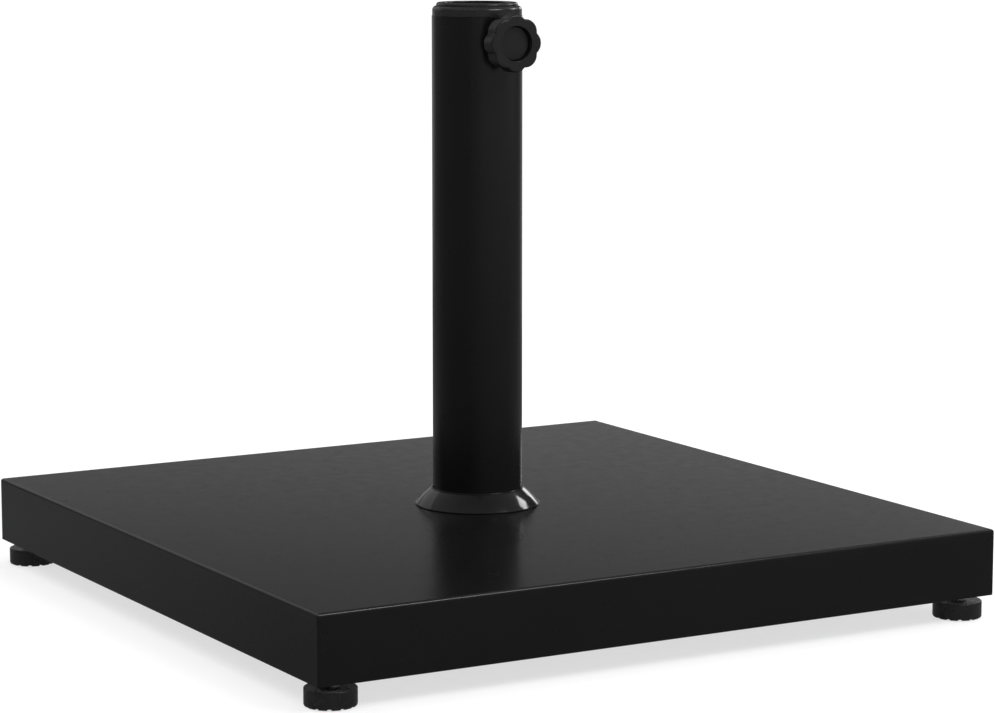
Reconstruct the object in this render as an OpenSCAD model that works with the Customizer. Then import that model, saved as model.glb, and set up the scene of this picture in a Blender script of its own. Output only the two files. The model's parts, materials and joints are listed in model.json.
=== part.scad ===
// Free-standing parasol base: a square weighted slab on four levelling feet, with an upright tube
// whose top holds a parasol pole in a two-stage bush and locks it with a hand screw.
// The origin is on the floor under the tube's axis, +Z is up and the hand screw faces -Y.

/* [Slab] */
// Side of the square slab
slab_w = 450; // [360:10:600]
// Thickness of the slab
slab_h = 40; // [38:1:60]
// Radius of the shell's outer edges
edge_r = 2; // [2:0.5:6]
// Thickness of the shell and bottom plate
sheet_t = 1.5; // [1:0.1:1.5]

/* [Levelling feet] */
// Diameter of a foot pad
foot_d = 29.2; // [26:0.2:40]
// Height of a foot pad
foot_h = 10; // [8:0.5:14]
// Gap between a pad and the slab
foot_gap = 4; // [3.5:0.5:8]
// Distance from the slab's edges to a foot's axis
foot_inset = 15; // [15:1:60]
// Outer diameter of a foot stud's thread
foot_stud_d = 8; // [6:1:10]
// Length of a foot stud above its head
foot_stud_len = 29; // [26:1:31]

/* [Tube] */
// Outer diameter of the upright tube
tube_d = 55; // [54:0.5:60]
// Wall of the upright tube
tube_t = 1.5; // [1.5:0.1:2]
// Length of the upright tube
tube_len = 300; // [200:10:500]

/* [Trim collar] */
// Diameter of the collar where it meets the slab
collar_d = 77; // [72:1:90]
// Height of the collar
collar_h = 10.8; // [9:0.2:16]
// How far the collar's flank swells beyond a straight cone
collar_bulge = 0.56; // [0.3:0.02:1]
// Wall of the collar
collar_t = 1.8; // [1.2:0.2:2.4]

/* [Pole bushes] */
// Bore of the fixed bush, for a 48 mm pole
bush_bore_d = 48.4; // [48.2:0.1:48.6]
// Height of the fixed bush's flange above the tube
bush_flange_h = 6; // [4:0.5:10]
// Diameter of the fixed bush's flange
bush_flange_d = 54.4; // [53:0.2:55]
// Bore of the loose reducer, for a 38 mm pole
reducer_bore_d = 38.4; // [38.2:0.1:38.6]
// Height of the reducer's flange
reducer_flange_h = 2; // [2:0.5:6]
// Diameter of the reducer's flange
reducer_flange_d = 49.6; // [49.2:0.2:53]
// How far both bushes reach down inside the tube
bush_depth = 70; // [50:5:120]

/* [Hand screw] */
// Distance of the screw's axis below the tube's top
screw_drop = 15; // [12:1:30]
// Outer diameter of the screw's thread
screw_d = 8; // [6:1:10]
// Distance from the tube's axis to the screw's tip
screw_tip = 21; // [20:0.5:24]
// Distance from the tube's axis to the knob's face
knob_face = 47.7; // [46:0.1:56]
// Thickness of the knob
knob_t = 10; // [10:0.5:14]
// Diameter over the knob's lobes
knob_d = 34.4; // [32:0.2:44]
// Number of lobes
knob_lobes = 8; // [6:1:10]
// Radius of one lobe
lobe_r = 7.4; // [6:0.2:8]
// Diameter of the knob's cap
cap_d = 21; // [18:0.5:22]
// Depth of the cap's face below the knob's face
cap_recess = 3; // [1.5:0.5:3]

/* [Centre bolt] */
// Outer diameter of the centre bolt's thread
bolt_d = 12; // [10:1:12]
// Length of the centre bolt under its head
bolt_len = 50; // [48:1:60]
// Diameter of the pocket under the slab
pocket_d = 56; // [54:1:80]
// Depth of that pocket
pocket_h = 14; // [13:0.5:16]

/* [Hidden] */
$fn = 96;
// Radial clearance of a shaft that turns in its bore
run_gap = 0.05;
// Gap between pieces that only pass each other
free_gap = 0.3;
// Overshoot of every cutting tool past the face that it cuts
cut = 1;

// The slab
slab_z = foot_h + foot_gap;
slab_top = slab_z + slab_h;
core_w = slab_w - 2 * sheet_t;
core_z = slab_z + sheet_t;
core_top = slab_top - sheet_t;
pocket_top = slab_z + pocket_h;

// The centre bolt and what it clamps, from the pocket's ceiling down
bolt_r = bolt_d / 2;
bolt_hole_r = bolt_r + 0.5;
plate_washer_t = 3;
plate_washer_r = pocket_d / 2 - 3;
spring_washer_t = 3;
spring_washer_w = 4;
spring_washer_slit = 2;
bolt_head_h = 7.5;
bolt_head_af = 1.5 * bolt_d;
plate_washer_z = pocket_top - plate_washer_t;
spring_washer_z = plate_washer_z - spring_washer_t;
bolt_head_z = spring_washer_z - bolt_head_h;
sleeve_r = bolt_r + 2;

// The tube and what is welded to it
tube_r = tube_d / 2;
tube_bore_r = tube_r - tube_t;
tube_top = slab_top + tube_len;
end_plate_t = 4;
weld_nut_h = 10;
weld_nut_af = bolt_head_af;

// The trim collar's flank is an arc through its foot and its top, bulging outwards
collar_r = collar_d / 2;
collar_bore_r = tube_r + free_gap;
collar_lip_t = 1.2;
collar_lip_drop = 1;
flank_top_r = collar_bore_r + free_gap;
flank_h = collar_h - collar_lip_drop / 2;
flank_run = collar_r - flank_top_r;
flank_chord = norm([flank_run, flank_h]);
flank_arc_r = flank_chord * flank_chord / (8 * collar_bulge) + collar_bulge / 2;
flank_normal = [flank_h, flank_run] / flank_chord;
flank_centre = [(collar_r + flank_top_r) / 2, flank_h / 2] - (flank_arc_r - collar_bulge) * flank_normal;

// The bushes
bush_r = tube_bore_r - run_gap;
bush_z = tube_top - bush_depth;
flange_top = tube_top + bush_flange_h;
reducer_r = bush_bore_d / 2 - 0.25;
reducer_edge_r = 1;

// The hand screw
screw_r = screw_d / 2;
screw_z = tube_top - screw_drop;
screw_hole_r = screw_r + 0.6;
slot_w = screw_d + 1.6;
boss_r = 8;
boss_face = knob_face - knob_t - 2.2;
screw_head_h = 3.2;
screw_head_af = 13;
cap_t = 1.5;
cap_face = knob_face - cap_recess;
screw_head_top = cap_face - cap_t;
screw_head_bottom = screw_head_top - screw_head_h;
lobe_ring_r = knob_d / 2 - lobe_r;
tip_t = 1.5;
tip_r = screw_r - 0.4;
tip_stem_r = 1.6;
tip_stem_len = 4;

// The feet
foot_r = foot_d / 2;
stud_r = foot_stud_d / 2;
foot_ring = slab_w / 2 - foot_inset;
stud_head_z = 3;
stud_head_h = 2.5;
stud_head_r = stud_r + 2.5;
insert_r = stud_r + 3;
insert_len = 24;
insert_nose_r = stud_r + 2;
insert_nose_h = foot_gap - 1;

// The four corners, each with the side that it is on
CORNERS = [
    ["front_left", [-1, -1]],
    ["front_right", [1, -1]],
    ["rear_left", [-1, 1]],
    ["rear_right", [1, 1]]
];

// Places its children on one foot's axis
module at_foot(side) {
    translate([side[0] * foot_ring, side[1] * foot_ring, 0]) children();
}

// Places its children on the hand screw's axis, with their +Z pointing outwards from the tube
module along_screw() {
    translate([0, 0, screw_z]) rotate([90, 0, 0]) children();
}

// A disc or a ring of the given radii
module ring(outer_r, inner_r, height) {
    difference() {
        cylinder(r = outer_r, h = height);
        translate([0, 0, -cut]) cylinder(r = inner_r, h = height + 2 * cut);
    }
}

// A hexagonal prism of the given width across flats
module hexagon(across_flats, height) {
    cylinder(r = across_flats / sqrt(3), h = height, $fn = 6);
}

// A square block whose upright and top edges are rounded, standing on z = 0
module rounded_block(width, height, radius) {
    half = width / 2 - radius;
    translate([-half, -width / 2, 0]) cube([2 * half, width, height - radius]);
    translate([-width / 2, -half, 0]) cube([width, 2 * half, height - radius]);
    translate([-half, -half, 0]) cube([2 * half, 2 * half, height]);
    for (x = [-half, half], y = [-half, half]) {
        translate([x, y, 0]) cylinder(r = radius, h = height - radius);
        translate([x, y, height - radius]) sphere(r = radius);
    }
    for (side = [-half, half]) {
        translate([side, -half, height - radius]) rotate([-90, 0, 0]) cylinder(r = radius, h = 2 * half);
        translate([-half, side, height - radius]) rotate([0, 90, 0]) cylinder(r = radius, h = 2 * half);
    }
}

// Pressed steel cover of the slab, open underneath
module base_shell() {
    color("#1b1b1d") difference() {
        translate([0, 0, slab_z]) rounded_block(slab_w, slab_h, edge_r);
        translate([-core_w / 2, -core_w / 2, slab_z - cut]) cube([core_w, core_w, slab_h - sheet_t + cut]);
        translate([0, 0, core_top - cut]) cylinder(r = bolt_hole_r, h = sheet_t + 2 * cut);
    }
}

// Cast weight that fills the shell around the sleeve, the inserts and the pocket
module concrete_fill() {
    color("#8c8a84") difference() {
        translate([-core_w / 2, -core_w / 2, core_z]) cube([core_w, core_w, core_top - core_z]);
        translate([0, 0, core_z - cut]) cylinder(d = pocket_d, h = pocket_top - core_z + cut);
        translate([0, 0, core_z]) cylinder(r = sleeve_r, h = slab_h);
        for (corner = CORNERS) at_foot(corner[1])
            translate([0, 0, core_z - cut]) cylinder(r = insert_r, h = slab_z + insert_len - core_z + cut);
    }
}

// Flat plate that closes the shell from below
module bottom_plate() {
    color("#242426") difference() {
        translate([-core_w / 2, -core_w / 2, slab_z]) cube([core_w, core_w, sheet_t]);
        translate([0, 0, slab_z - cut]) cylinder(d = pocket_d, h = sheet_t + 2 * cut);
        for (corner = CORNERS) at_foot(corner[1])
            translate([0, 0, slab_z - cut]) cylinder(r = insert_r, h = sheet_t + 2 * cut);
    }
}

// Steel sleeve that carries the centre bolt's clamping load through the concrete
module centre_sleeve() {
    color("#a9abad") translate([0, 0, pocket_top]) ring(sleeve_r, bolt_hole_r, core_top - pocket_top);
}

// Hexagon bolt driven up through the slab into the tube's foot
module centre_bolt() {
    color("#b9bbbd") translate([0, 0, bolt_head_z]) {
        hexagon(bolt_head_af, bolt_head_h);
        cylinder(r = bolt_r, h = bolt_head_h + bolt_len);
    }
}

// Split spring washer over the bolt's head
module spring_washer() {
    color("#9fa1a3") translate([0, 0, spring_washer_z]) difference() {
        ring(bolt_hole_r + spring_washer_w, bolt_hole_r, spring_washer_t);
        translate([0, -spring_washer_slit / 2, -cut])
            cube([plate_washer_r, spring_washer_slit, spring_washer_t + 2 * cut]);
    }
}

// Wide washer that spreads the bolt's load over the pocket's ceiling
module plate_washer() {
    color("#b0b2b4") translate([0, 0, plate_washer_z]) ring(plate_washer_r, bolt_hole_r, plate_washer_t);
}

// Upright steel tube, with a hole for the hand screw near its top
module pole_tube() {
    color("#161617") difference() {
        translate([0, 0, slab_top]) ring(tube_r, tube_bore_r, tube_len);
        along_screw() cylinder(r = screw_hole_r, h = tube_r + cut);
    }
}

// Disc welded into the tube's foot
module tube_end_plate() {
    color("#2a2a2c") translate([0, 0, slab_top]) ring(tube_bore_r, bolt_hole_r, end_plate_t);
}

// Nut welded on the disc, which takes the centre bolt
module tube_weld_nut() {
    color("#8f9193") translate([0, 0, slab_top + end_plate_t]) difference() {
        hexagon(weld_nut_af, weld_nut_h);
        translate([0, 0, -cut]) cylinder(r = bolt_r + run_gap, h = weld_nut_h + 2 * cut);
    }
}

// Half section of the trim collar: an arched flank of even wall, and a lip round the tube
module collar_section() {
    difference() {
        intersection() {
            translate(flank_centre) circle(r = flank_arc_r, $fn = 360);
            translate([collar_bore_r, 0]) square([collar_r, collar_h]);
        }
        intersection() {
            translate(flank_centre) circle(r = flank_arc_r - collar_t, $fn = 360);
            translate([collar_bore_r + collar_t, -cut]) square([collar_r, collar_h]);
        }
    }
    translate([collar_bore_r, collar_h - collar_lip_drop - collar_lip_t])
        square([collar_lip_t, collar_lip_drop + collar_lip_t - collar_lip_t / 2]);
    translate([collar_bore_r + collar_lip_t / 2, collar_h - collar_lip_t / 2]) circle(d = collar_lip_t);
}

// Loose plastic collar that hides the tube's foot
module trim_collar() {
    color("#0e0e0f") translate([0, 0, slab_top]) rotate_extrude() collar_section();
}

// Flanged plastic bush pressed into the tube's top, with a hole for the hand screw
module fixed_bush() {
    color("#19191a") difference() {
        union() {
            translate([0, 0, bush_z]) cylinder(r = bush_r, h = bush_depth);
            translate([0, 0, tube_top]) cylinder(d = bush_flange_d, h = bush_flange_h);
        }
        translate([0, 0, bush_z - cut]) cylinder(d = bush_bore_d, h = bush_depth + bush_flange_h + 2 * cut);
        along_screw() cylinder(r = screw_hole_r, h = tube_r);
    }
}

// Loose reducer inside the bush; its slot is open at the foot, so it lifts out past the hand screw
module pole_reducer() {
    color("#1d1d1e") difference() {
        union() {
            translate([0, 0, bush_z]) cylinder(r = reducer_r, h = flange_top - bush_z);
            translate([0, 0, flange_top]) rotate_extrude() reducer_flange_section();
        }
        translate([0, 0, bush_z - cut])
            cylinder(d = reducer_bore_d, h = flange_top + reducer_flange_h - bush_z + 2 * cut);
        along_screw() cylinder(d = slot_w, h = tube_r);
        translate([-slot_w / 2, -tube_r, bush_z - cut]) cube([slot_w, tube_r, screw_z - bush_z + cut]);
    }
}

// Half section of the reducer's flange, with its top edge rounded
module reducer_flange_section() {
    flange_r = reducer_flange_d / 2;
    square([flange_r, reducer_flange_h - reducer_edge_r]);
    square([flange_r - reducer_edge_r, reducer_flange_h]);
    translate([flange_r - reducer_edge_r, reducer_flange_h - reducer_edge_r]) circle(r = reducer_edge_r);
}

// Threaded boss welded on the tube, its inner end shaped to the tube
module screw_boss() {
    color("#161617") difference() {
        along_screw() cylinder(r = boss_r, h = boss_face);
        translate([0, 0, screw_z - boss_r - cut]) cylinder(r = tube_r, h = 2 * (boss_r + cut));
        along_screw() cylinder(r = screw_r + run_gap, h = boss_face + cut);
    }
}

// Hexagon screw whose head sits in the knob, bored at its end for the tip
module clamp_screw() {
    color("#b4b6b8") along_screw() difference() {
        union() {
            translate([0, 0, screw_tip + tip_t + run_gap])
                cylinder(r = screw_r, h = screw_head_top - screw_tip - tip_t - run_gap);
            translate([0, 0, screw_head_bottom]) hexagon(screw_head_af, screw_head_h);
        }
        cylinder(r = tip_stem_r + run_gap, h = screw_tip + tip_t + tip_stem_len + run_gap);
    }
}

// Nylon tip that presses on the pole and swivels on the screw's end
module clamp_tip() {
    color("#d8d6d0") along_screw() translate([0, 0, screw_tip]) {
        cylinder(r = tip_r, h = tip_t);
        cylinder(r = tip_stem_r, h = tip_t + tip_stem_len);
    }
}

// Outline of the knob: a ring of round lobes, one of them pointing up
module knob_outline() {
    circle(r = lobe_ring_r);
    for (i = [0 : knob_lobes - 1]) rotate(90 + i * 360 / knob_lobes)
        translate([lobe_ring_r, 0]) circle(r = lobe_r);
}

// Lobed plastic knob, with a round recess for the cap and a hexagonal seat for the screw's head
module clamp_knob() {
    color("#1c1c1d") along_screw() difference() {
        translate([0, 0, knob_face - knob_t]) linear_extrude(knob_t) knob_outline();
        translate([0, 0, screw_head_top]) cylinder(d = cap_d, h = cap_t + cap_recess + cut);
        translate([0, 0, screw_head_bottom]) hexagon(screw_head_af, screw_head_h + cut);
        translate([0, 0, knob_face - knob_t - cut]) cylinder(r = screw_r, h = knob_t);
    }
}

// Snap-in disc that covers the screw's head
module knob_cap() {
    color("#202021") along_screw() translate([0, 0, screw_head_top]) cylinder(d = cap_d, h = cap_t);
}

// Threaded insert cast into the slab's underside, its narrower nose standing below the slab
module foot_insert() {
    color("#c4c6c8") translate([0, 0, slab_z]) difference() {
        union() {
            cylinder(r = insert_r, h = insert_len);
            translate([0, 0, -insert_nose_h]) cylinder(r = insert_nose_r, h = insert_nose_h);
        }
        translate([0, 0, -insert_nose_h - cut])
            cylinder(r = stud_r + run_gap, h = insert_len + insert_nose_h + 2 * cut);
    }
}

// Threaded stud of a foot, with a round head held in the pad
module foot_stud() {
    color("#c9cbcd") translate([0, 0, stud_head_z]) {
        cylinder(r = stud_head_r, h = stud_head_h);
        cylinder(r = stud_r, h = stud_head_h + foot_stud_len);
    }
}

// Round plastic pad of a foot, moulded round the stud's head
module foot_pad() {
    color("#202022") difference() {
        cylinder(r = foot_r, h = foot_h);
        translate([0, 0, stud_head_z - run_gap])
            cylinder(r = stud_head_r + run_gap, h = stud_head_h + 2 * run_gap);
        translate([0, 0, stud_head_z]) cylinder(r = stud_r + run_gap, h = foot_h);
    }
}

base_shell();
concrete_fill();
bottom_plate();
centre_sleeve();
centre_bolt();
spring_washer();
plate_washer();
pole_tube();
tube_end_plate();
tube_weld_nut();
trim_collar();
fixed_bush();
pole_reducer();
screw_boss();
clamp_screw();
clamp_tip();
clamp_knob();
knob_cap();
for (corner = CORNERS) {
    at_foot(corner[1]) foot_insert();
    at_foot(corner[1]) foot_stud();
    at_foot(corner[1]) foot_pad();
}
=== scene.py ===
"""Looks of the parasol base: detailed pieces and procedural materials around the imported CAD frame."""

import json
import math

import bpy
from mathutils import Matrix, Vector


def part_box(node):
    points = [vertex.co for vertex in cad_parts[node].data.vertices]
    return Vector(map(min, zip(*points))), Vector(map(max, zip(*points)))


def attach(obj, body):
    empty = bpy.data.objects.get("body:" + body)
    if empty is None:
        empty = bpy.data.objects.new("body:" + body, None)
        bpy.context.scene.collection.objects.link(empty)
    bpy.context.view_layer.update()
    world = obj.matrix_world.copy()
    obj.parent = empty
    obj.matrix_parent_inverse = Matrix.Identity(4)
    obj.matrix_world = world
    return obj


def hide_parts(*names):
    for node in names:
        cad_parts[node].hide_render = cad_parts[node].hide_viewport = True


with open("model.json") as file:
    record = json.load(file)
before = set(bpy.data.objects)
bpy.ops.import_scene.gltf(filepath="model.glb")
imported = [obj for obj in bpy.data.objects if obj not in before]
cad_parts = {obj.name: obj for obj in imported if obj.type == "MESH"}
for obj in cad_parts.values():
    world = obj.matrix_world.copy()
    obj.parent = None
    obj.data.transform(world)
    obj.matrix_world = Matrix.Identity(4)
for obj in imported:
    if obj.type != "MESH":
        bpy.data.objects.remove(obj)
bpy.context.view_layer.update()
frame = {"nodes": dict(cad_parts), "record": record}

MM = 0.001
TURN = 2 * math.pi
CORNERS = ("front_left", "front_right", "rear_left", "rear_right")
CREASE = 32  # degrees; sharper edges stay crisp

# Threads, and the sizes that several pieces share
THREAD_PITCH = 1.25 * MM
BOLT_PITCH = 1.75 * MM
BOLT_RADIUS = 6 * MM
SCREW_RADIUS = 4 * MM
SCREW_HOLE = 4.6 * MM  # radius of the holes that the hand screw passes through
SCREW_HEAD = 3.2 * MM  # height of the hand screw's head
TIP_STEM = 1.6 * MM  # radius of the nylon tip's stem
STUD_HEAD = 2.5 * MM  # a stud's head: its height, and how far it stands out from the thread
TURNING_GAP = 0.05 * MM
BUSH_BORE = 24.2 * MM
REDUCER_SLEEVE = 23.95 * MM
OVERCUT = 1 * MM  # how far a cutter reaches beyond what it cuts

# How bright reflections see the floor: across from left to right, far off, and in a pool behind the slab
FLOOR_LEFT = 0.075
FLOOR_RIGHT = 0.175
FLOOR_FAR = 0.135
POOL = 0.08
POOL_PLACE = (-0.3, 0.5, 0)
ACROSS_SPAN = (-1.0, 0.5)
POOL_SPAN = (0.15, 0.6)
FAR_SPAN = (0.7, 1.5)
FLOOR_GLOW = 1.2  # what the camera sees of the floor is partly its own glow, so that it stays pale
FLOOR_GLOW_SHARE = 0.55
FLOOR_HALF = 40
FLOOR_HEIGHT = -0.3 * MM  # just clear of the pads, which sink to the floor's level when a foot is out

# (elevation in degrees, brightness) of the surroundings in reflections
SKY = ((0, 0.12), (10, 0.095), (16, 0.035), (28, 0.08), (40, 0.30), (60, 0.20), (80, 0.13))
OVERHEAD_STRENGTH = 2.7
OVERHEAD_SPREAD = 100  # degrees

CAMERA_PLACE = (-0.9832, -1.72616, 0.44084)
CAMERA_AIM = (0.01072, -0.00615, 0.14530)
CAMERA_LENS = 118.27  # mm
SENSOR_WIDTH = 36  # mm


# ---------------------------------------------------------------- places and sizes from the frame


def size(node, axis):
    """Extent of a CAD node along an axis, 0 to 2."""
    low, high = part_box(node)
    return high[axis] - low[axis]


def centre(node):
    """Middle of a CAD node's box."""
    low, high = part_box(node)
    return (low + high) / 2


def upright_at(node):
    """Matrix that carries local +Z to the upright axis of a CAD node."""
    place = centre(node)
    return Matrix.Translation((place.x, place.y, 0))


def along_screw():
    """Matrix that carries local +Z to the hand screw's axis, which points outwards along -Y."""
    height = centre("clamp_knob").z
    return Matrix.Translation((0, 0, height)) @ Matrix.Rotation(math.radians(90), 4, "X")


SCREW = along_screw()


def out_along_screw(node):
    """(nearest, farthest) distance of a CAD node from the tube's axis along the hand screw."""
    low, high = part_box(node)
    return -high.y, -low.y


# ---------------------------------------------------------------- outlines


def rounded(corners, closed=True, step=15):
    """A polyline through (x, y, radius) corners, with an arc in place of each corner that has a radius."""
    count = len(corners)
    points = []
    for i, (x, y, radius) in enumerate(corners):
        here = Vector((x, y))
        at_end = not closed and i in (0, count - 1)
        if radius <= 0 or at_end:
            points.append(here)
            continue
        back = (Vector(corners[i - 1][:2]) - here).normalized()
        ahead = (Vector(corners[(i + 1) % count][:2]) - here).normalized()
        turn = math.pi - back.angle(ahead)
        if turn < 1e-4:
            points.append(here)
            continue
        reach = radius * math.tan(turn / 2)
        middle = here + (back + ahead).normalized() * (radius / math.cos(turn / 2))
        start, end = here + back * reach - middle, here + ahead * reach - middle
        side = 1 if start.x * end.y - start.y * end.x > 0 else -1
        steps = max(2, math.ceil(math.degrees(turn) / step))
        for k in range(steps + 1):
            a = side * turn * k / steps
            points.append(middle + Vector((start.x * math.cos(a) - start.y * math.sin(a),
                                           start.x * math.sin(a) + start.y * math.cos(a))))
    return [(p.x, p.y) for p in points]


def circle_ring(radius, height, count):
    """A level circle of points."""
    return polar_ring(lambda angle: radius, height, count)


def polar_ring(radius_at, height, count, inset=0.0):
    """A level ring whose radius follows radius_at(angle), less an inset."""
    ring = []
    for i in range(count):
        angle = TURN * i / count
        r = radius_at(angle) - inset
        ring.append((r * math.cos(angle), r * math.sin(angle), height))
    return ring


def hexagon_radius(across_flats):
    """Radius of a hexagon as a function of the angle, with a corner on +X."""
    def radius_at(angle):
        off = (angle % math.radians(60)) - math.radians(30)
        return across_flats / 2 / math.cos(off)
    return radius_at


# ---------------------------------------------------------------- meshes


def weight_normals(obj):
    """Lets large faces rule the shading of the roundings beside them."""
    weighted = obj.modifiers.new("Normals", "WEIGHTED_NORMAL")
    weighted.keep_sharp = True


def mesh_object(name, points, faces, matrix=None, crease=CREASE):
    """A smooth-shaded mesh object whose edges sharper than crease degrees stay crisp."""
    mesh = bpy.data.meshes.new(name)
    mesh.from_pydata([tuple(p) for p in points], [], faces)
    if matrix is not None:
        mesh.transform(matrix)
    mesh.polygons.foreach_set("use_smooth", [True] * len(mesh.polygons))
    mesh.set_sharp_from_angle(angle=math.radians(crease))
    obj = bpy.data.objects.new(name, mesh)
    bpy.context.scene.collection.objects.link(obj)
    weight_normals(obj)
    return obj


def loft(name, rings, closed=False, matrix=None, crease=CREASE):
    """A skin over rings of equal length. A closed loft joins its last ring to its first; an open one is
    capped at both ends. A ring of one point is a pole."""
    points = []
    starts = []
    for ring in rings:
        starts.append(len(points))
        points.extend(ring)
    faces = []
    pairs = list(zip(range(len(rings)), range(1, len(rings))))
    if closed:
        pairs.append((len(rings) - 1, 0))
    for a, b in pairs:
        na, nb = len(rings[a]), len(rings[b])
        count = max(na, nb)
        for i in range(count):
            j = (i + 1) % count
            quad = [starts[a] + i % na, starts[a] + j % na, starts[b] + j % nb, starts[b] + i % nb]
            faces.append(list(dict.fromkeys(quad)))
    if not closed:
        for end, order in ((0, -1), (len(rings) - 1, 1)):
            if len(rings[end]) > 1:
                faces.append([starts[end] + i for i in range(len(rings[end]))][::order])
    return mesh_object(name, points, faces, matrix, crease)


def lathe(name, section, count=128, closed=True, matrix=None, crease=CREASE):
    """A solid of revolution about local Z from a section of (radius, height) points, anticlockwise."""
    rings = [circle_ring(r, z, count) if r > 0 else [(0, 0, z)] for r, z in section]
    return loft(name, rings, closed, matrix, crease)


def cut(obj, cutter):
    """Takes the cutter's shape out of the object and drops the cutter."""
    obj.modifiers.clear()
    boolean = obj.modifiers.new("Cut", "BOOLEAN")
    boolean.operation = "DIFFERENCE"
    boolean.solver = "EXACT"
    boolean.object = cutter
    bpy.context.view_layer.update()
    depsgraph = bpy.context.evaluated_depsgraph_get()
    mesh = bpy.data.meshes.new_from_object(obj.evaluated_get(depsgraph))
    obj.modifiers.clear()
    obj.data = mesh
    mesh.set_sharp_from_angle(angle=math.radians(CREASE))
    weight_normals(obj)
    bpy.data.objects.remove(cutter)


def drill(obj, radius, start, end, count=48, matrix=None):
    """Cuts a round hole through the object along local Z."""
    cut(obj, lathe("drill", [(radius, start), (radius, end)], count, closed=False, matrix=matrix))


def threaded_rod(name, radius, pitch, start, end, matrix=None, bore=0.0, bore_end=0.0):
    """A rod with a right-hand thread and chamfered ends, along local Z. A bore opens at its start."""
    depth = 0.6 * pitch
    chamfer = 0.7 * pitch
    count = 40
    rings_per_pitch = 8
    steps = max(2, round((end - start) / pitch * rings_per_pitch))

    def surface(height, angle):
        # a flat crest, two sloping flanks and a narrow root in each pitch, cut back by the end chamfers
        phase = (height / pitch - angle / TURN) % 1
        flank = min(1.0, max(0.0, 2.4 * abs(phase - 0.5) - 0.1))
        from_end = max(0.0, min(height - start, end - height))
        return min(radius - depth * flank, radius - depth + from_end * depth / chamfer)

    if bore == 0:
        rings = [[(0, 0, start)]]
    else:
        rings = [[(0, 0, bore_end)], circle_ring(bore, bore_end, count), circle_ring(bore, start, count)]
    for k in range(steps + 1):
        height = start + (end - start) * k / steps
        rings.append(polar_ring(lambda a, h=height: surface(h, a), height, count))
    rings.append([(0, 0, end)])
    return loft(name, rings, False, matrix, crease=60)


def hex_body(across_flats, base, top, chamfer_top=True, chamfer_base=False):
    """Rings of a hexagonal head or nut, its corners cut back by 30 degree cones where asked."""
    radius_at = hexagon_radius(across_flats)
    face_radius = 0.475 * across_flats
    slope = math.tan(math.radians(30))
    count = 96

    def edge(height, sign, chamfered):
        ring = []
        for i in range(count):
            a = TURN * i / count
            r = radius_at(a)
            drop = max(0.0, r - face_radius) * slope if chamfered else 0.0
            ring.append((r * math.cos(a), r * math.sin(a), height + sign * drop))
        return ring

    rings = [circle_ring(face_radius, base, count)] if chamfer_base else []
    rings.append(edge(base, 1, chamfer_base))
    rings.append(edge(top, -1, chamfer_top))
    if chamfer_top:
        rings.append(circle_ring(face_radius, top, count))
    return rings


# ---------------------------------------------------------------- materials


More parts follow.
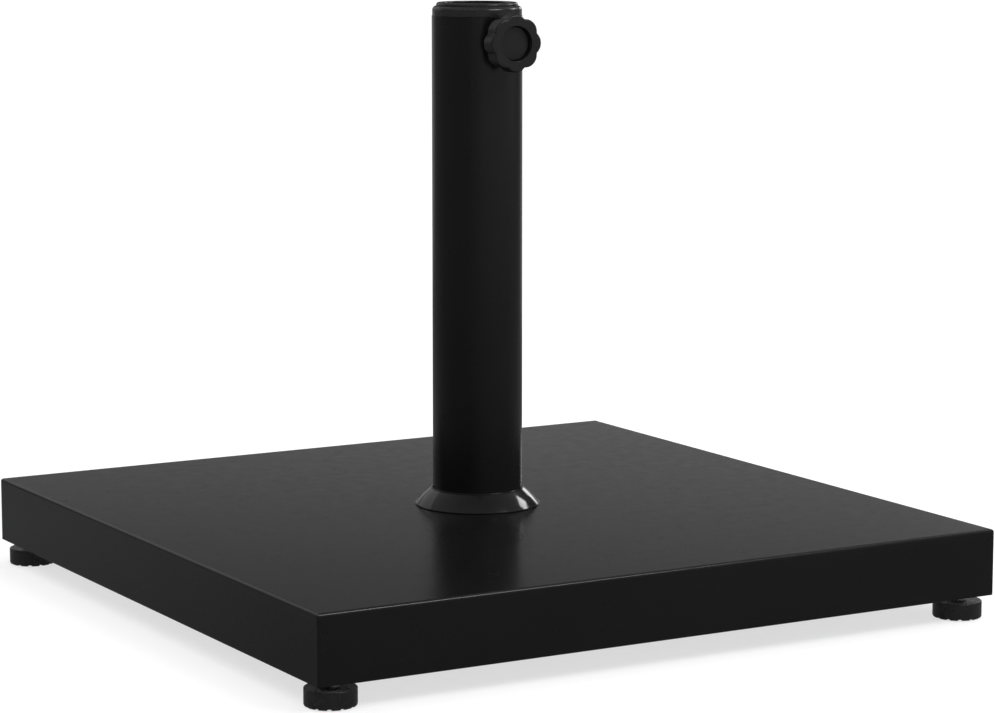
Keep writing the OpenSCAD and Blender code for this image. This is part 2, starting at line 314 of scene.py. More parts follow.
class Surface:
    """A procedural material on object coordinates, built up node by node."""

    def __init__(self, name, **constants):
        self.material = bpy.data.materials.new(name)
        self.material.use_nodes = True
        self.nodes, self.links = self.material.node_tree.nodes, self.material.node_tree.links
        self.shader = self.nodes["Principled BSDF"]
        for socket, value in constants.items():
            self.shader.inputs[socket.replace("_", " ")].default_value = value
        self.coordinates = self.nodes.new("ShaderNodeTexCoord").outputs["Object"]

    def feed(self, socket, value):
        """Links or sets a socket."""
        if isinstance(value, bpy.types.NodeSocket):
            self.links.new(value, socket)
        elif value is not None:
            socket.default_value = value

    def stretch(self, scale):
        """Object coordinates scaled unevenly, for brushed or drawn textures."""
        node = self.nodes.new("ShaderNodeMapping")
        self.links.new(self.coordinates, node.inputs["Vector"])
        node.inputs["Scale"].default_value = scale
        return node.outputs["Vector"]

    def noise(self, grain, detail=2.0, roughness=0.5, vector=None):
        """Noise whose features are about grain metres across."""
        node = self.nodes.new("ShaderNodeTexNoise")
        self.links.new(vector or self.coordinates, node.inputs["Vector"])
        node.inputs["Scale"].default_value = 1 / grain
        node.inputs["Detail"].default_value = detail
        node.inputs["Roughness"].default_value = roughness
        return node.outputs["Fac"]

    def cells(self, grain, feature="F1"):
        """Distance to cell points about grain metres apart."""
        node = self.nodes.new("ShaderNodeTexVoronoi")
        node.feature = feature
        self.links.new(self.coordinates, node.inputs["Vector"])
        node.inputs["Scale"].default_value = 1 / grain
        return node.outputs["Distance"]

    def spread(self, value, low, high, start=0.3, end=0.7):
        """Maps a 0 to 1 texture onto low to high."""
        node = self.nodes.new("ShaderNodeMapRange")
        self.links.new(value, node.inputs["Value"])
        for socket, number in (("From Min", start), ("From Max", end), ("To Min", low), ("To Max", high)):
            node.inputs[socket].default_value = number
        return node.outputs["Result"]

    def blend(self, factor, first, second):
        """Colour that goes from first to second with the factor."""
        node = self.nodes.new("ShaderNodeMix")
        node.data_type = "RGBA"
        self.feed(node.inputs["Factor"], factor)
        self.feed(node.inputs["A"], (*first, 1) if isinstance(first, tuple) else first)
        self.feed(node.inputs["B"], (*second, 1) if isinstance(second, tuple) else second)
        return node.outputs["Result"]

    def colour(self, value):
        """Links the base colour."""
        self.feed(self.shader.inputs["Base Color"], value)

    def roughness(self, value):
        """Links the roughness."""
        self.feed(self.shader.inputs["Roughness"], value)

    def mottled(self, grain, detail, first, second):
        """Base colour that drifts between two shades in patches about grain metres across."""
        self.colour(self.blend(self.spread(self.noise(grain, detail), 0, 1), first, second))

    def uneven_gloss(self, grain, detail, low, high):
        """Roughness that drifts between two values in patches about grain metres across."""
        self.roughness(self.spread(self.noise(grain, detail), low, high))

    def bump(self, height, depth, strength=1.0, below=None):
        """Relief of the given depth in metres, stacked on an earlier bump if there is one."""
        node = self.nodes.new("ShaderNodeBump")
        node.inputs["Distance"].default_value = depth
        node.inputs["Strength"].default_value = strength
        self.links.new(height, node.inputs["Height"])
        if below is not None:
            self.links.new(below, node.inputs["Normal"])
        self.links.new(node.outputs["Normal"], self.shader.inputs["Normal"])
        return node.outputs["Normal"]


def powder_coat():
    """Satin black powder coat: faint orange peel, and a finer grain that breaks up its reflections."""
    s = Surface("powder_coat", IOR=1.5)
    s.mottled(60 * MM, 3, (0.0038, 0.0039, 0.0041), (0.0050, 0.0051, 0.0053))
    s.uneven_gloss(9 * MM, 4, 0.235, 0.275)
    peel = s.bump(s.noise(1.6 * MM, 2), 0.012 * MM, 0.5)
    s.bump(s.noise(0.35 * MM, 2), 0.004 * MM, 0.5, peel)
    return s.material


def plate_paint():
    """Matt black primer with a dusty mottle, for the underside and inside."""
    s = Surface("plate_paint")
    s.mottled(35 * MM, 5, (0.010, 0.010, 0.011), (0.022, 0.022, 0.022))
    s.uneven_gloss(12 * MM, 4, 0.5, 0.68)
    s.bump(s.noise(0.8 * MM, 3), 0.03 * MM, 0.6)
    return s.material


def galvanised():
    """Galvanised sheet: soft spangle of slightly different greys."""
    s = Surface("galvanised", Metallic=0.25)
    spangle = s.cells(9 * MM, "SMOOTH_F1")
    s.colour(s.blend(s.spread(spangle, 0, 1, 0.1, 0.7), (0.58, 0.59, 0.60), (0.70, 0.71, 0.72)))
    s.uneven_gloss(5 * MM, 4, 0.38, 0.52)
    s.bump(s.noise(2 * MM, 3), 0.01 * MM, 0.5)
    return s.material


def concrete():
    """Cast concrete: sandy grain, darker blotches, and small blow holes with painted shade in them."""
    s = Surface("concrete")
    sand = s.noise(1.2 * MM, 6, 0.65)
    blotches = s.blend(s.spread(s.noise(45 * MM, 4), 0, 1), (0.27, 0.26, 0.245), (0.40, 0.39, 0.37))
    holes_and_painted_shade = s.spread(s.cells(7 * MM), 0, 1, 0.08, 0.2)
    # painted shade: the blow holes are coloured much darker than the concrete round them, as if shade fell
    # in the pits
    s.colour(s.blend(holes_and_painted_shade, (0.13, 0.125, 0.12), blotches))
    s.roughness(s.spread(sand, 0.82, 0.95))
    pits = s.bump(holes_and_painted_shade, 0.5 * MM, 0.8)
    s.bump(sand, 0.25 * MM, 0.7, pits)
    return s.material


def plain_steel():
    """Zinc-plated steel, turned and slightly cloudy."""
    s = Surface("plain_steel", Metallic=1.0)
    s.mottled(6 * MM, 4, (0.44, 0.45, 0.46), (0.58, 0.59, 0.60))
    s.uneven_gloss(2 * MM, 4, 0.28, 0.42)
    s.bump(s.noise(0.5 * MM, 3, vector=s.stretch((1, 1, 6))), 0.008 * MM, 0.5)
    return s.material


def zinc():
    """Bright zinc plate with a faint warm and blue bloom."""
    s = Surface("zinc", Metallic=0.3)
    s.mottled(4 * MM, 3, (0.74, 0.73, 0.70), (0.72, 0.75, 0.78))
    s.uneven_gloss(1.5 * MM, 3, 0.2, 0.32)
    s.bump(s.noise(0.3 * MM, 2), 0.004 * MM, 0.5)
    return s.material


def chrome():
    """Bright plated thread, duller in patches where it has been handled."""
    s = Surface("chrome", Metallic=1.0)
    s.mottled(3 * MM, 3, (0.66, 0.67, 0.69), (0.76, 0.77, 0.78))
    s.uneven_gloss(1.8 * MM, 4, 0.1, 0.2)
    s.bump(s.noise(0.25 * MM, 2), 0.003 * MM, 0.4)
    return s.material


def collar_plastic():
    """Glossy black moulding with the slow waves of a thin moulded wall."""
    s = Surface("collar_plastic", IOR=1.5)
    s.mottled(20 * MM, 3, (0.0085, 0.0085, 0.0088), (0.0105, 0.0105, 0.0108))
    s.uneven_gloss(5 * MM, 4, 0.085, 0.13)
    s.bump(s.noise(9 * MM, 2), 0.02 * MM, 0.5)
    return s.material


def bush_plastic():
    """Semi-gloss black moulding."""
    s = Surface("bush_plastic", IOR=1.5)
    s.mottled(12 * MM, 3, (0.0155, 0.0157, 0.0162), (0.0190, 0.0192, 0.0197))
    s.uneven_gloss(4 * MM, 4, 0.22, 0.3)
    s.bump(s.noise(2.5 * MM, 2), 0.006 * MM, 0.4)
    return s.material


def knob_plastic():
    """Fine-textured black moulding, as left by a spark-eroded tool."""
    s = Surface("knob_plastic", IOR=1.5)
    s.mottled(8 * MM, 3, (0.0098, 0.0100, 0.0108), (0.0123, 0.0125, 0.0135))
    s.uneven_gloss(3 * MM, 4, 0.33, 0.42)
    s.bump(s.noise(0.45 * MM, 3), 0.015 * MM, 0.6)
    return s.material


def foot_plastic():
    """Black moulding, polished by its tool."""
    s = Surface("foot_plastic", IOR=1.5)
    s.mottled(10 * MM, 3, (0.0125, 0.0127, 0.0130), (0.0165, 0.0167, 0.0170))
    s.uneven_gloss(4 * MM, 4, 0.2, 0.3)
    s.bump(s.noise(0.9 * MM, 3), 0.01 * MM, 0.5)
    return s.material


def nylon():
    """Natural nylon, slightly waxy."""
    s = Surface("nylon", IOR=1.53, Subsurface_Weight=0.15)
    s.shader.inputs["Subsurface Scale"].default_value = 1 * MM
    s.mottled(3 * MM, 3, (0.58, 0.56, 0.50), (0.66, 0.64, 0.58))
    s.uneven_gloss(1.5 * MM, 3, 0.4, 0.5)
    s.bump(s.noise(0.5 * MM, 2), 0.01 * MM, 0.5)
    return s.material


MATERIALS = {
    make.__name__: make()
    for make in (powder_coat, plate_paint, galvanised, concrete, plain_steel, zinc, chrome,
                 collar_plastic, bush_plastic, knob_plastic, foot_plastic, nylon)
}
NODE_SLOT = {part["node"]: part["material_slot"] for part in frame["record"]["subparts"]}
NODE_BODY = {node: body for body, nodes in frame["record"]["behaviour"]["bodies"].items() for node in nodes}


def added_to(obj, node):
    """The piece is a detail of a CAD node: same body and finish."""
    obj.data.materials.append(MATERIALS[NODE_SLOT[node]])
    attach(obj, NODE_BODY[node])


def stands_for(obj, node):
    """The piece takes the place, body and finish of a CAD node."""
    added_to(obj, node)
    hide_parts(node)


# ---------------------------------------------------------------- the slab


def rounded_square(half, corner, height):
    """A level square ring of points with rounded corners."""
    flat = half - corner
    arc_steps = 6
    side_steps = 4
    ring = []
    for quarter in range(4):
        turn = quarter * math.radians(90)
        local = []
        for k in range(arc_steps + 1):
            a = math.radians(90) * k / arc_steps
            local.append((flat + corner * math.cos(a), flat + corner * math.sin(a)))
        for k in range(1, side_steps):
            local.append((flat - 2 * flat * k / side_steps, half))
        cos, sin = math.cos(turn), math.sin(turn)
        ring += [(x * cos - y * sin, x * sin + y * cos, height) for x, y in local]
    return ring


def circle_like(ring, radius, height):
    """A circle with its points in the same directions as the ring's."""
    points = []
    for x, y, _ in ring:
        a = math.atan2(y, x)
        points.append((radius * math.cos(a), radius * math.sin(a), height))
    return points


def slab_shell():
    """Pressed cover with rolled edges, open underneath, pierced in the middle for the centre bolt."""
    low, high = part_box("base_shell")
    half = high.x
    bottom, top = low.z, high.z
    edge = 2 * MM
    upright = 0.8 * MM
    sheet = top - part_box("concrete_fill")[1].z
    sleeve_wall = 1.5 * MM
    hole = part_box("centre_sleeve")[1].x - sleeve_wall
    lip = 0.35 * MM
    inner_corner = 0.3 * MM
    least_corner = 0.02 * MM
    rings = [rounded_square(half - lip, upright - lip, bottom), rounded_square(half, upright, bottom + lip)]
    steps = 8
    for k in range(steps + 1):
        a = math.radians(90) * k / steps
        drawn = edge - edge * math.cos(a)
        corner = max(upright - drawn, least_corner)
        rings.append(rounded_square(half - drawn, corner, top - edge + edge * math.sin(a)))
    rings.append(circle_like(rings[-1], hole, top))
    rings.append(circle_like(rings[-1], hole, top - sheet))
    inner = half - sheet
    rings.append(rounded_square(inner, inner_corner, top - sheet))
    rings.append(rounded_square(inner, inner_corner, bottom))
    stands_for(loft("slab_shell", rings, closed=True), "base_shell")


def slab_underside():
    """Bottom plate, pierced for the centre bolt's washer and a spanner, and for the foot inserts."""
    low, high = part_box("bottom_plate")
    corner_r = 0.5 * MM
    rings = [rounded_square(high.x, corner_r, low.z), rounded_square(high.x, corner_r, high.z)]
    plate = loft("slab_bottom_plate", rings)
    start, end = low.z - OVERCUT, high.z + OVERCUT
    spanner_room = 3 * MM
    drill(plate, size("plate_washer", 0) / 2 + spanner_room, start, end, 96)
    for corner in CORNERS:
        node = "foot_insert_" + corner
        drill(plate, size(node, 0) / 2, start, end, matrix=upright_at(node))
    stands_for(plate, "bottom_plate")


# ---------------------------------------------------------------- the tube and its trim


def pole_tube():
    """Upright tube with softened ends and the hole for the hand screw."""
    low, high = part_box("pole_tube")
    outer = high.x
    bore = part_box("tube_end_plate")[1].x
    soft = 0.4 * MM
    top_edge = 0.12 * MM
    section = rounded([
        (bore, low.z, soft), (outer, low.z, soft), (outer, high.z, top_edge), (bore, high.z, soft)])
    tube = lathe("upright_tube", section, 192)
    drill(tube, SCREW_HOLE, 0, outer + OVERCUT, matrix=SCREW)
    stands_for(tube, "pole_tube")


def trim_collar():
    """Thin arched collar with a rolled foot and a rolled lip round the tube."""
    low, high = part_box("trim_collar")
    foot_r = high.x
    height = high.z - low.z
    play = 0.3 * MM
    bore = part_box("pole_tube")[1].x + play
    wall = 1.8 * MM
    lip = 0.8 * MM
    bulge = 0.5 * MM  # of the arch above its chord, which runs from the foot's edge to just inside the lip
    soft = 0.45 * MM
    foot_round = 0.55 * MM
    top_r = bore + 0.3 * MM
    top_h = height - 0.5 * MM
    run = foot_r - top_r
    chord = math.hypot(run, top_h)
    arc = chord * chord / (8 * bulge) + bulge / 2
    middle = Vector(((foot_r + top_r) / 2, top_h / 2)) - Vector((top_h, run)) / chord * (arc - bulge)

    def flank(radius, start, end):
        points = []
        steps = 14
        for k in range(steps + 1):
            r = start + (end - start) * k / steps
            points.append((r, middle.y + math.sqrt(radius * radius - (r - middle.x) ** 2)))
        return points

    def roll(r, z, radius, angles):
        turns = [math.radians(a) for a in angles]
        return [(r + radius * math.cos(a), z + radius * math.sin(a)) for a in turns]

    outer = flank(arc, foot_r - foot_round, bore + lip)
    foot_in = middle.x + math.sqrt((arc - wall) ** 2 - middle.y ** 2)
    inner = flank(arc - wall, bore + wall, foot_in - 0.05 * MM)
    rolled = roll(bore + lip / 2, height - lip / 2, lip / 2, range(0, 181, 20))
    foot = roll(foot_r - soft, soft, soft, range(-90, 31, 20))
    section = [(foot_in, 0)] + foot + outer + rolled + [(bore, inner[0][1])] + inner
    place = Matrix.Translation((0, 0, low.z))
    stands_for(lathe("trim_collar_ring", section, 192, matrix=place), "trim_collar")


def fixed_bush():
    """Flanged bush in the tube's top: a band above the tube, with a soft shoulder."""
    low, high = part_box("fixed_bush")
    tube_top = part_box("pole_tube")[1].z
    outer = high.x
    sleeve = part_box("tube_end_plate")[1].x - TURNING_GAP
    shoulder = 2.8 * MM
    section = rounded([
        (BUSH_BORE, low.z, 0.5 * MM), (sleeve, low.z, 0.8 * MM), (sleeve, tube_top, 0),
        (outer, tube_top, 0.25 * MM), (outer, high.z, shoulder), (BUSH_BORE, high.z, 0.15 * MM)])
    bush = lathe("fixed_bush_moulding", section, 192)
    drill(bush, SCREW_HOLE, 0, outer + OVERCUT, matrix=SCREW)
    stands_for(bush, "fixed_bush")


def pole_reducer():
    """Loose reducer, slotted from its foot up to the hand screw."""
    low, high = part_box("pole_reducer")
    bush_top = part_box("fixed_bush")[1].z
    flange = high.x
    ring_edge = 1.5 * MM
    bore = bore_mount_radius()
    section = rounded([
        (bore, low.z, 0.5 * MM), (REDUCER_SLEEVE, low.z, 0.8 * MM), (REDUCER_SLEEVE, bush_top, 0),
        (flange, bush_top, 0.1 * MM), (flange, high.z, ring_edge), (bore, high.z, 0.6 * MM)])
    reducer = lathe("pole_reducer_moulding", section, 192)
    half = 4.8 * MM  # half the slot's width
    start, end = low.z - OVERCUT, SCREW.translation.z + half
    end_r = 0.98 * half
    outline = rounded([(-half, start, 0), (half, start, 0), (half, end, end_r), (-half, end, end_r)])
    rings = [[(x, 0, z) for x, z in outline], [(x, -flange - OVERCUT, z) for x, z in outline]]
    cut(reducer, loft("slot_cutter", rings))
    stands_for(reducer, "pole_reducer")


def bore_mount_radius():
    """Radius of the record's pole bore."""
    mounts = {m["name"]: m for m in frame["record"]["mounts"]}
    return mounts["pole_bore"]["dims"]["r_mm"] * MM


# ---------------------------------------------------------------- the hand screw


def knob_radius(outer, lobes, lobe_r):
    """Radius of the knob's outline: round lobes, one of them up, with softened valleys between them."""
    ring_r = outer - lobe_r
    pitch = TURN / lobes
    soft = 0.22 * MM

    def lobe(off):
        reach = lobe_r * lobe_r - (ring_r * math.sin(off)) ** 2
        return ring_r * math.cos(off) + math.sqrt(max(reach, 0.0))

    def radius_at(angle):
        off = abs((angle - TURN / 4 + pitch / 2) % pitch - pitch / 2)
        near = lobe(off)
        far = lobe(pitch - off)
        # a smooth maximum of the two lobes, pulled in a little so that it stays inside the CAD outline
        return (near + far + math.sqrt((near - far) ** 2 + 4 * soft * soft)) / 2 - soft * 0.1

    return radius_at


def clamp_knob():
    """Knob with eight lobes, rolled edges, a recess for its cap and a seat for the screw's head."""
    near, far = out_along_screw("clamp_knob")
    lobes = 8
    lobe_r = 7.4 * MM
    outline = knob_radius(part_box("clamp_knob")[1].x, lobes, lobe_r)
    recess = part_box("knob_cap")[1].x
    cap_back = out_along_screw("knob_cap")[0]
    seat = 7.6 * MM
    seat_back = cap_back - SCREW_HEAD
    shank = SCREW_RADIUS + 0.1 * MM
    count = 256
    back_r = 0.9 * MM
    face_r = 1.3 * MM
    rings = [circle_ring(shank, near, count), polar_ring(outline, near, count, back_r)]
    for radius, level, sign, angles in ((back_r, near + back_r, -1, range(75, -1, -15)),
                                        (face_r, far - face_r, 1, range(0, 91, 15))):
        for a in angles:
            turn = math.radians(a)
            drop = radius * (1 - math.cos(turn))
            rings.append(polar_ring(outline, level + sign * radius * math.sin(turn), count, drop))
    rim = 0.25 * MM
    for a in range(90, -1, -30):
        turn = math.radians(a)
        radius = recess + rim - rim * math.cos(turn)
        rings.append(circle_ring(radius, far - rim + rim * math.sin(turn), count))
    rings += [circle_ring(recess, cap_back, count), circle_ring(seat, cap_back, count),
              circle_ring(seat, seat_back, count), circle_ring(shank, seat_back, count)]
    stands_for(loft("clamp_knob_moulding", rings, closed=True, matrix=SCREW), "clamp_knob")


def knob_cap():
    """Cap with a soft edge and a very slight crown."""
    near, far = out_along_screw("knob_cap")
    gap = 0.35 * MM
    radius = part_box("knob_cap")[1].x - gap
    crown = 0.12 * MM
    rim = far - crown
    section = [(0, near), (radius, near), (radius, rim - 0.8 * MM), (radius - 0.15 * MM, rim - 0.3 * MM),
               (radius - 0.5 * MM, rim), (0.6 * radius, far - 0.03 * MM), (0, far)]
    stands_for(lathe("knob_cap_disc", section, 128, closed=False, matrix=SCREW), "knob_cap")


def clamp_screw():
    """Threaded screw with its hexagon head in the knob."""
    near, far = out_along_screw("clamp_screw")
    across_flats = 13 * MM
    head_base = far - SCREW_HEAD
    socket = TIP_STEM + TURNING_GAP
    socket_end = out_along_screw("clamp_tip")[1] + TURNING_GAP
    rod = threaded_rod("clamp_screw_thread", SCREW_RADIUS, THREAD_PITCH, near, head_base, SCREW,
                       socket, socket_end)
    stands_for(rod, "clamp_screw")
    head = loft("clamp_screw_head", hex_body(across_flats, head_base, far), matrix=SCREW)
    added_to(head, "clamp_screw")


def clamp_tip():
    """Nylon tip: a soft-edged disc on a stem."""
    near, far = out_along_screw("clamp_tip")
    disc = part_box("clamp_tip")[1].x
    disc_height = 1.5 * MM
    face = near + disc_height
    corners = [(0, near, 0), (disc, near, 0.5 * MM), (disc, face, 0.2 * MM), (TIP_STEM, face, 0),
               (TIP_STEM, far, 0.3 * MM), (0, far, 0)]
    section = rounded(corners, closed=False)
    stands_for(lathe("clamp_tip_nylon", section, 64, closed=False, matrix=SCREW), "clamp_tip")


def screw_boss():
    """Boss with its inner end fitted to the tube, and the weld bead round its foot."""
    far = out_along_screw("screw_boss")[1]
    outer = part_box("screw_boss")[1].x
    bore = SCREW_RADIUS + TURNING_GAP
    tube_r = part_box("pole_tube")[1].x

    def on_tube(radius, count):
        ring = []
        for i in range(count):
            a = TURN * i / count
            x = radius * math.cos(a)
            ring.append(Vector((x, radius * math.sin(a), math.sqrt(tube_r * tube_r - x * x))))
        return ring

    count = 96
    end = [(outer, far - 3 * MM, 0), (outer, far, 0.9 * MM), (bore, far, 0.5 * MM), (bore, far - 2 * MM, 0)]
    rings = [on_tube(bore, count), on_tube(outer, count)]
    rings += [circle_ring(r, z, count) for r, z in rounded(end, closed=False)]
    stands_for(loft("screw_boss_body", rings, closed=True, matrix=SCREW), "screw_boss")

    bead = 1.1 * MM
    ripples = 26
    ripple_depth = 0.12
    seam = []
    feet = on_tube(outer, 192)
    for i, foot in enumerate(feet):
        a = TURN * i / len(feet)
        out = Vector((math.cos(a), math.sin(a), 0))
        swell = bead * (1 + ripple_depth * math.cos(a * ripples))
        turns = [math.radians(d) for d in range(0, 360, 30)]
        seam.append([foot + out * swell * math.cos(t) + Vector((0, 0, swell * math.sin(t))) for t in turns])
    weld = loft("screw_boss_weld", seam, closed=True, matrix=SCREW, crease=80)
    added_to(weld, "screw_boss")


# ---------------------------------------------------------------- the feet


def foot_pad(corner):
    """Pad with a soft top edge and twelve treads round its foot, hollow for the stud's head."""
    node = "foot_pad_" + corner
    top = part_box(node)[1].z
    outer = size(node, 0) / 2
    stud = size("foot_stud_" + corner, 0) / 2
    shank = stud - STUD_HEAD + TURNING_GAP
    head_room = stud + TURNING_GAP
    head_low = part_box("foot_stud_" + corner)[0].z - TURNING_GAP
    head_high = head_low + STUD_HEAD + 2 * TURNING_GAP
    count = 192
    treads = 12
    groove = 0.75 * MM
    groove_height = 2.5 * MM
    land = 8 * MM
    foot_round = 1.1 * MM
    side_start = 3 * MM

    def tread(angle, radius):
        # a smooth step from the land between two grooves into the groove, deepest at the rim
        wave = math.cos(angle * treads)
        notch = min(1.0, max(0.0, (wave - 0.45) / 0.3))
        outwards = min(1.0, max(0.0, (radius - land) / (outer - land)))
        return groove * notch * notch * (3 - 2 * notch) * outwards

    def footed(radius, height):
        ring = []
        for i in range(count):
            a = TURN * i / count
            lift = tread(a, radius) * max(0.0, 1 - height / groove_height)
            ring.append((radius * math.cos(a), radius * math.sin(a), height + lift))
        return ring

    below = [(land, 0, 0), (outer - side_start, 0, 0), (outer, 0, foot_round), (outer, side_start, 0)]
    above = [(outer, side_start + 0.2 * MM, 0), (outer, top, 0.55 * MM), (shank, top, 0.3 * MM),
             (shank, head_high, 0), (head_room, head_high, 0), (head_room, head_low, 0), (0, head_low, 0)]
    rings = [[(0, 0, 0)]] + [footed(r, z) for r, z in rounded(below, closed=False)]
    rings += [circle_ring(r, z, count) if r > 0 else [(0, 0, z)] for r, z in rounded(above, closed=False)]
    stands_for(loft("foot_pad_moulding_" + corner, rings, matrix=upright_at(node)), node)


def foot_stud(corner):
    """Threaded stud with the round head that the pad is moulded on."""
    node = "foot_stud_" + corner
    low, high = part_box(node)
    place = upright_at(node)
    head_r = size(node, 0) / 2
    head_top = low.z + STUD_HEAD
    radius = head_r - STUD_HEAD
    rod = threaded_rod("foot_stud_thread_" + corner, radius, THREAD_PITCH, head_top, high.z, place)
    stands_for(rod, node)
    soft = 0.3 * MM
    corners = [(0, low.z, 0), (head_r, low.z, soft), (head_r, head_top, soft), (0, head_top, 0)]
    section = rounded(corners, closed=False)
    added_to(lathe("foot_stud_head_" + corner, section, 64, closed=False, matrix=place), node)


def foot_insert(corner):
    """Threaded insert: barrel in the concrete and a narrower nose with a rounded edge below the slab."""
    node = "foot_insert_" + corner
    low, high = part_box(node)
    barrel = size(node, 0) / 2
    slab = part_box("base_shell")[0].z
    step = 1 * MM
    nose = barrel - step
    bore = size("foot_stud_" + corner, 0) / 2 - STUD_HEAD + TURNING_GAP
    countersink = 0.35 * MM
    section = rounded([
        (bore, low.z, countersink), (nose, low.z, 0.45 * MM), (nose, slab, 0), (barrel, slab, 0),
        (barrel, high.z, 0.5 * MM), (bore, high.z, countersink)])
    stands_for(lathe("foot_insert_barrel_" + corner, section, 96, matrix=upright_at(node)), node)


# ---------------------------------------------------------------- the centre bolt


def centre_bolt():
    """Hexagon bolt: chamfered head below, threaded shank above."""
    low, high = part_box("centre_bolt")
    head_height = 7.5 * MM
    head_top = low.z + head_height
    rod = threaded_rod("centre_bolt_thread", BOLT_RADIUS, BOLT_PITCH, head_top, high.z)
    stands_for(rod, "centre_bolt")
    rings = hex_body(size("centre_bolt", 1), low.z, head_top, chamfer_top=False, chamfer_base=True)
    added_to(loft("centre_bolt_head", rings), "centre_bolt")


def spring_washer():
    """Split washer of square section, its ends sprung slightly apart."""
    low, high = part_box("spring_washer")
    width = 4 * MM
    outer, inner = high.y, high.y - width
    rise = 0.25 * MM
    half_gap = 6  # degrees
    base, top = low.z + rise / 2, high.z - rise / 2
    inner_soft, outer_soft = 0.2 * MM, 0.3 * MM
    section = rounded([
        (inner, base, inner_soft), (outer, base, outer_soft),
        (outer, top, outer_soft), (inner, top, inner_soft)], step=45)
    steps = 72
    rings = []
    for k in range(steps + 1):
        a = math.radians(half_gap + (360 - 2 * half_gap) * k / steps)
        lift = rise * (k / steps - 0.5)
        rings.append([(r * math.cos(a), r * math.sin(a), z + lift) for r, z in section])
    stands_for(loft("spring_washer_coil", rings), "spring_washer")


def plate_washer():
    """Stamped washer with one softened face."""
    low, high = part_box("plate_washer")
    clearance = 0.5 * MM
    hole = BOLT_RADIUS + clearance
    section = rounded([
        (hole, low.z, 0.3 * MM), (high.x, low.z, 0.5 * MM),
        (high.x, high.z, 0.1 * MM), (hole, high.z, 0.1 * MM)])
    stands_for(lathe("plate_washer_disc", section, 128), "plate_washer")


def finish_cad_nodes():
    """The inner pieces whose CAD shape is right keep it, with their slot's material."""
    for node in ("concrete_fill", "centre_sleeve", "tube_end_plate", "tube_weld_nut"):
        mesh = frame["nodes"][node].data
        mesh.materials.clear()
        mesh.materials.append(MATERIALS[NODE_SLOT[node]])


# ---------------------------------------------------------------- studio


def towards(place, target):
    """Rotation that aims a lamp or camera at place towards the target."""
    return (Vector(target) - Vector(place)).to_track_quat("-Z", "Y").to_euler()


def soft_box(name, place, target, width, height, radiance):
    """An evenly bright rectangle aimed at a point, hidden from the camera."""
    data = bpy.data.lights.new(name, "AREA")
    data.shape = "RECTANGLE"
    data.size = width
    data.size_y = height
    data.energy = radiance * math.pi * width * height
    lamp = bpy.data.objects.new(name, data)
    lamp.location = place
    lamp.rotation_euler = towards(place, target)
    lamp.visible_camera = False
    bpy.context.scene.collection.objects.link(lamp)
    return lamp


def overhead_light():
    """Broad light from straight above, for the floor and matt surfaces. Reflections don't show it."""
    data = bpy.data.lights.new("overhead", "SUN")
    data.energy = OVERHEAD_STRENGTH
    data.angle = math.radians(OVERHEAD_SPREAD)
    lamp = bpy.data.objects.new("overhead", data)
    lamp.location = (0, 0, 3)
    lamp.visible_glossy = False
    bpy.context.scene.collection.objects.link(lamp)


def mix_shaders(tree, factor, first, second):
    """Shader that goes from first to second with the factor."""
    node = tree.nodes.new("ShaderNodeMixShader")
    if isinstance(factor, bpy.types.NodeSocket):
        tree.links.new(factor, node.inputs[0])
    else:
        node.inputs[0].default_value = factor
    tree.links.new(first, node.inputs[1])
    tree.links.new(second, node.inputs[2])
    return node.outputs[0]


def measure_from(s, operation, point=(0, 0, 0)):
    """Length of the object coordinates, or their distance from a point."""
    node = s.nodes.new("ShaderNodeVectorMath")
    node.operation = operation
    s.links.new(s.coordinates, node.inputs[0])
    node.inputs[1].default_value = point
    return node.outputs["Value"]


def floor_seen(s, camera_ray):
    """The floor's paper, with some glow of its own where the camera sees it."""
    glow = s.nodes.new("ShaderNodeEmission")
    glow.inputs["Strength"].default_value = FLOOR_GLOW
    paper = s.shader.outputs[0]
    lifted = mix_shaders(s.material.node_tree, FLOOR_GLOW_SHARE, paper, glow.outputs[0])
    return mix_shaders(s.material.node_tree, camera_ray, paper, lifted)


def floor_mirrored(s):
    """The dim floor of the reflections."""
    split = s.nodes.new("ShaderNodeSeparateXYZ")
    s.links.new(s.coordinates, split.inputs[0])
    across = s.spread(split.outputs["X"], FLOOR_LEFT, FLOOR_RIGHT, *ACROSS_SPAN)
    pool = s.spread(measure_from(s, "DISTANCE", POOL_PLACE), POOL, 0, *POOL_SPAN)
    near = s.nodes.new("ShaderNodeMath")
    s.links.new(across, near.inputs[0])
    s.links.new(pool, near.inputs[1])
    glimmer = s.nodes.new("ShaderNodeMix")
    s.links.new(s.spread(measure_from(s, "LENGTH"), 0, 1, *FAR_SPAN), glimmer.inputs["Factor"])
    s.links.new(near.outputs[0], glimmer.inputs["A"])
    glimmer.inputs["B"].default_value = FLOOR_FAR
    dim = s.nodes.new("ShaderNodeEmission")
    s.links.new(glimmer.outputs["Result"], dim.inputs["Strength"])
    return dim.outputs[0]


def studio_floor():
    """Wide pale floor, clear from below, and dim in reflections."""
    corners = ((-1, -1), (1, -1), (1, 1), (-1, 1))
    points = [(x * FLOOR_HALF, y * FLOOR_HALF, FLOOR_HEIGHT) for x, y in corners]
    floor = mesh_object("studio_floor", points, [(0, 1, 2, 3)])
    s = Surface("studio_floor_paper", Roughness=0.9)
    s.mottled(0.8, 3, (0.85, 0.85, 0.85), (0.87, 0.87, 0.87))
    tree = s.material.node_tree
    path = s.nodes.new("ShaderNodeLightPath").outputs
    backfacing = s.nodes.new("ShaderNodeNewGeometry").outputs["Backfacing"]
    clear = s.nodes.new("ShaderNodeBsdfTransparent").outputs[0]
    seen = floor_seen(s, path["Is Camera Ray"])
    shown = mix_shaders(tree, path["Is Glossy Ray"], seen, floor_mirrored(s))
    sided = mix_shaders(tree, backfacing, shown, clear)
    s.links.new(sided, s.nodes["Material Output"].inputs["Surface"])
    s.material.cycles.emission_sampling = "NONE"
    floor.data.materials.append(s.material)


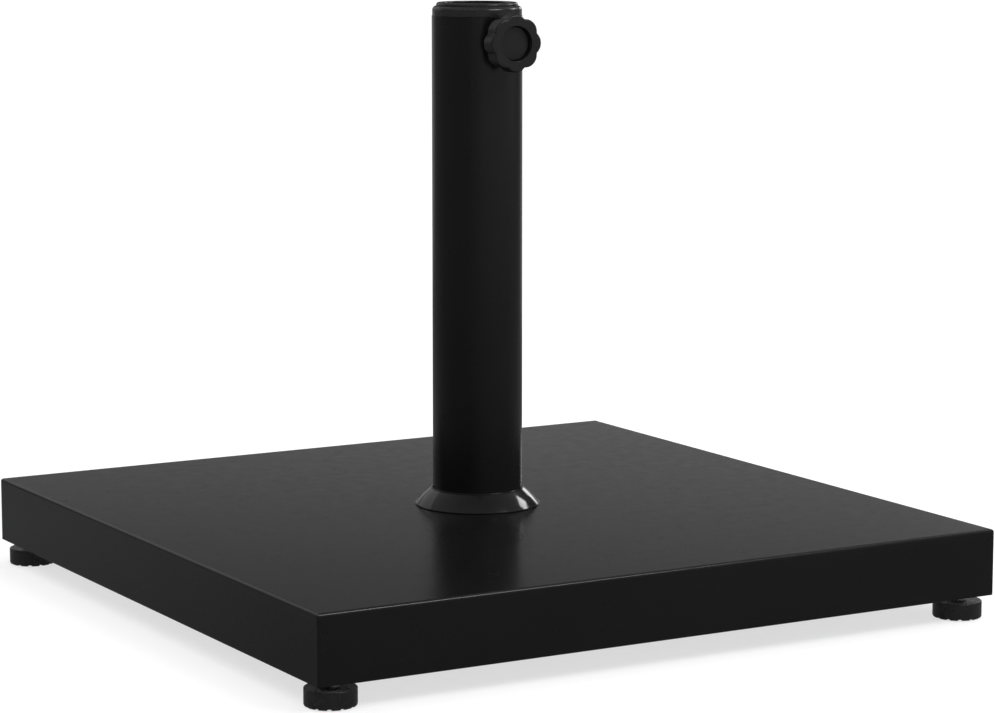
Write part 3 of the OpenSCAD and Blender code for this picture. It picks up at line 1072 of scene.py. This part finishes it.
def studio_sky():
    """Dim surroundings for reflections, brightest at 40 degrees up, and pale where the camera sees them."""
    world = bpy.data.worlds.new("studio")
    bpy.context.scene.world = world
    world.use_nodes = True
    nodes, links = world.node_tree.nodes, world.node_tree.links
    nodes.clear()
    split = nodes.new("ShaderNodeSeparateXYZ")
    links.new(nodes.new("ShaderNodeTexCoord").outputs["Generated"], split.inputs[0])
    ramp = nodes.new("ShaderNodeValToRGB")
    links.new(split.outputs["Z"], ramp.inputs["Fac"])
    elements = ramp.color_ramp.elements
    while len(elements) < len(SKY):
        elements.new(0.5)
    for element, (elevation, brightness) in zip(elements, SKY):
        element.position = math.sin(math.radians(elevation))
        element.color = (brightness, brightness, brightness, 1)
    dim = nodes.new("ShaderNodeBackground")
    links.new(ramp.outputs["Color"], dim.inputs["Color"])
    pale = nodes.new("ShaderNodeBackground")
    pale.inputs["Color"].default_value = (1, 1, 1, 1)
    seen = nodes.new("ShaderNodeLightPath").outputs["Is Camera Ray"]
    mixed = mix_shaders(world.node_tree, seen, dim.outputs[0], pale.outputs[0])
    links.new(mixed, nodes.new("ShaderNodeOutputWorld").inputs["Surface"])


def studio_lights():
    """Soft boxes, and pale boards that only reflections see: place, target, width, height and radiance."""
    heart = (0, 0, 0.1)
    soft_box("box_right", (1.60, 0.09, 1.20), heart, 0.5, 0.34, 8)
    soft_box("box_overhead", (0.62, -1.10, 1.52), heart, 0.8, 0.32, 9)
    soft_box("box_rear_right", (4.58, 3.66, 1.40), heart, 1.35, 1.10, 3)
    rear_top = 0.345
    rear_mid = rear_top / 2
    boards = (
        soft_box("board_rear", (0.34, 1.52, rear_mid), (-0.67, 0.70, rear_mid), 2.5, rear_top, 0.26),
        soft_box("board_front", (0.635, -1.897, 0.4), (0, 0, 0.4), 8, 0.9, 0.11),
        soft_box("board_front_right", (1.0, -1.65, 0.45), (0, 0, 0.45), 5.2, 0.8, 0.11),
        soft_box("wall_rear_left", (-0.46, 1.95, 0.98), heart, 1.9, 0.95, 0.4))
    for board in boards:
        board.visible_diffuse = False


def camera():
    """Long lens, a little above the tube's top and in front of the slab's left-hand corner."""
    data = bpy.data.cameras.new("camera")
    data.sensor_width = SENSOR_WIDTH
    data.lens = CAMERA_LENS
    data.clip_start = 0.1
    data.clip_end = 100
    obj = bpy.data.objects.new("camera", data)
    bpy.context.scene.collection.objects.link(obj)
    obj.location = CAMERA_PLACE
    obj.rotation_euler = towards(CAMERA_PLACE, CAMERA_AIM)
    bpy.context.scene.camera = obj


def main():
    """Makes every piece and the studio round them."""
    slab_shell()
    slab_underside()
    pole_tube()
    trim_collar()
    fixed_bush()
    pole_reducer()
    clamp_knob()
    knob_cap()
    clamp_screw()
    clamp_tip()
    screw_boss()
    for corner in CORNERS:
        foot_pad(corner)
        foot_stud(corner)
        foot_insert(corner)
    centre_bolt()
    spring_washer()
    plate_washer()
    finish_cad_nodes()
    studio_floor()
    studio_sky()
    overhead_light()
    studio_lights()
    camera()
    bpy.context.scene.view_settings.view_transform = "Standard"
    bpy.context.view_layer.update()


main()
